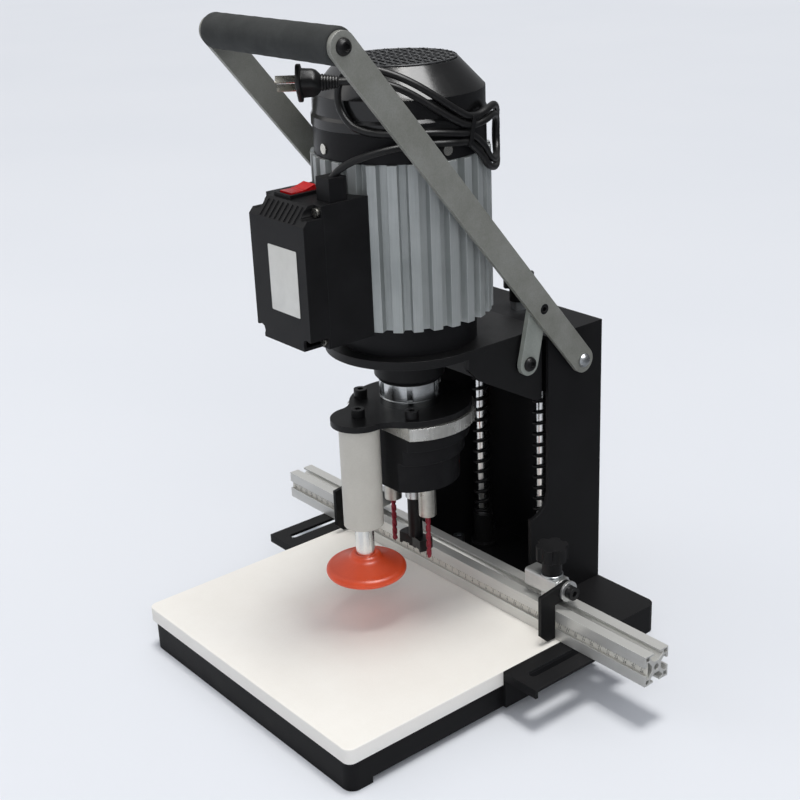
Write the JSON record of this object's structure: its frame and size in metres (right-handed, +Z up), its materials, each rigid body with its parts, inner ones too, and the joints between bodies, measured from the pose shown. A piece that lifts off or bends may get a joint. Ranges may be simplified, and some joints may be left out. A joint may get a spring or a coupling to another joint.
{
  "type": "hinge boring machine",
  "caption": "Bench boring machine for cabinet hinges: lever-fed motor head on sprung guide rods, hold-down foot, worktop and T-slot fence with flip stops.",
  "frame": {"origin": "on the bench, in the middle of the footprint between the fence ends and between the worktop front and the column back", "axes": "+X to the right along the fence, +Y from the operator to the column, +Z up"},
  "size_m": [0.532, 0.387, 0.6132],
  "materials": {
    "black_paint": "satin",
    "frame_paint": "satin",
    "board": "laminated",
    "zinc": "plated",
    "black_screw": "oxide",
    "rod_chrome": "polished",
    "spring_steel": "oiled",
    "extrusion": "anodised",
    "scale_tape": "printed",
    "stop_alloy": "machined",
    "black_plastic": "moulded",
    "gloss_black": "moulded",
    "bronze": "turned",
    "cast_black": "painted",
    "fin_alloy": "extruded",
    "winding": "varnished",
    "bearing": "ground",
    "screw_gilt": "passivated",
    "cord_rubber": "matte",
    "blade_brass": "stamped",
    "flange_steel": "turned",
    "collar_chrome": "plated",
    "cylinder_paint": "satin",
    "shaft_steel": "ground",
    "spindle_steel": "turned",
    "fan_plastic": "moulded",
    "cutter": "blackened",
    "drill_red": "coated",
    "foot_red": "moulded",
    "rocker_red": "moulded",
    "arm_steel": "rolled",
    "link_steel": "rolled",
    "foam": "foamed"
  },
  "bodies": {
    "base": {"base_tray": "black_paint", "fence_wings": "black_paint", "worktop": "board", "column_shell": "black_paint", "column_bolts": "zinc", "guide_rods": "rod_chrome", "rod_sockets": "frame_paint", "return_springs": "spring_steel"},
    "height_stop": {"height_stop": "black_plastic"},
    "fence": {"fence_rail": "extrusion", "fence_scale": "scale_tape", "fence_bolts": "zinc"},
    "right_stop": {"right_stop_block": "stop_alloy", "right_stop_pin": "black_screw"},
    "right_flip": {"right_flip_plate": "black_plastic"},
    "right_knob": {"right_stop_knob": "black_plastic"},
    "left_stop": {"left_stop_block": "stop_alloy", "left_stop_pin": "black_screw"},
    "left_flip": {"left_flip_plate": "black_plastic"},
    "left_knob": {"left_stop_knob": "black_plastic"},
    "carriage": {"carriage_frame": "frame_paint", "guide_bushes": "bronze", "drive_bell": "cast_black", "motor_shell": "fin_alloy", "stator_core": "winding", "end_bell": "cast_black", "fan_cover": "gloss_black", "motor_bearings": "bearing", "cover_screws": "screw_gilt", "cap_screws": "black_screw", "switch_box": "black_plastic", "switch_lid": "black_plastic", "cable_entry": "black_plastic", "cord_run": "cord_rubber", "cord_hank": "cord_rubber", "plug_body": "cord_rubber", "plug_blades": "blade_brass", "head_neck": "frame_paint", "clamp_collar": "collar_chrome", "clamp_bracket": "frame_paint", "head_flange": "flange_steel", "head_housing": "cast_black", "clamp_cylinder": "cylinder_paint", "clamp_spring": "spring_steel"},
    "rotor": {"rotor_shaft": "shaft_steel", "cooling_fan": "fan_plastic", "cup_bit": "cutter"},
    "left_bit": {"left_spindle": "spindle_steel", "left_drill": "drill_red"},
    "right_bit": {"right_spindle": "spindle_steel", "right_drill": "drill_red"},
    "plunger": {"clamp_rod": "rod_chrome", "clamp_foot": "foot_red"},
    "rocker": {"switch_rocker": "rocker_red"},
    "lever": {"lever_arms": "arm_steel", "handle_grip": "foam", "handle_tube": "zinc", "lever_bolts": "black_screw"},
    "link": {"links": "link_steel", "link_bolts": "black_screw"}
  },
  "joints": [
    {"name": "feed_slide", "type": "slide", "parent": "base", "child": "carriage", "axis": [0, 0, -1], "range_m": [0, 0.044], "stiffness_N_per_m": 2600, "springref_m": -0.1, "deforming": ["return_springs"]},
    {"name": "lever_hinge", "type": "hinge", "parent": "base", "child": "lever", "pos_m": [0, 0.1585, 0.278], "axis": [1, 0, 0], "range_deg": [0, 37.9]},
    {"name": "link_hinge", "type": "hinge", "parent": "lever", "child": "link", "pos_m": [0, 0.10666, 0.34089], "axis": [1, 0, 0], "range_deg": [-7.8, 0]},
    {"name": "motor_spin", "type": "hinge", "parent": "carriage", "child": "rotor", "pos_m": [0, 0.0205, 0.4], "axis": [0, 0, 1], "continuous": true},
    {"name": "left_bit_spin", "type": "hinge", "parent": "carriage", "child": "left_bit", "pos_m": [-0.026, 0.015, 0.2], "axis": [0, 0, 1], "continuous": true},
    {"name": "right_bit_spin", "type": "hinge", "parent": "carriage", "child": "right_bit", "pos_m": [0.026, 0.015, 0.2], "axis": [0, 0, 1], "continuous": true},
    {"name": "hold_down_slide", "type": "slide", "parent": "carriage", "child": "plunger", "axis": [0, 0, 1], "range_m": [0, 0.028], "stiffness_N_per_m": 800, "springref_m": -0.02, "deforming": ["clamp_spring"]},
    {"name": "rocker_tilt", "type": "hinge", "parent": "carriage", "child": "rocker", "pos_m": [-0.011, -0.0835, 0.467], "axis": [1, 0, 0], "range_deg": [-16, 0]},
    {"name": "fence_adjust", "type": "slide", "parent": "base", "child": "fence", "axis": [0, 1, 0], "range_m": [-0.012, 0.008]},
    {"name": "right_stop_slide", "type": "slide", "parent": "fence", "child": "right_stop", "axis": [1, 0, 0], "range_m": [-0.03, 0.09]},
    {"name": "right_flip_hinge", "type": "hinge", "parent": "right_stop", "child": "right_flip", "pos_m": [0.1557, 0.07, 0.0911], "axis": [-1, 0, 0], "range_deg": [0, 100]},
    {"name": "right_knob_turn", "type": "hinge", "parent": "right_stop", "child": "right_knob", "pos_m": [0.138, 0.07, 0.12], "axis": [0, 0, 1], "continuous": true},
    {"name": "left_stop_slide", "type": "slide", "parent": "fence", "child": "left_stop", "axis": [1, 0, 0], "range_m": [-0.09, 0.03]},
    {"name": "left_flip_hinge", "type": "hinge", "parent": "left_stop", "child": "left_flip", "pos_m": [-0.1557, 0.07, 0.0911], "axis": [-1, 0, 0], "range_deg": [0, 100]},
    {"name": "left_knob_turn", "type": "hinge", "parent": "left_stop", "child": "left_knob", "pos_m": [-0.138, 0.07, 0.12], "axis": [0, 0, 1], "continuous": true},
    {"name": "height_stop_turn", "type": "hinge", "parent": "base", "child": "height_stop", "pos_m": [0, 0.163, 0.33], "axis": [0, 0, 1], "continuous": true}
  ],
  "couplings": [
    {"joint": "lever_hinge", "follows": "feed_slide", "rad_per_m": 14.989},
    {"joint": "link_hinge", "follows": "feed_slide", "rad_per_m": -3.05},
    {"joint": "left_bit_spin", "follows": "motor_spin", "ratio": -1},
    {"joint": "right_bit_spin", "follows": "motor_spin", "ratio": -1}
  ]
}
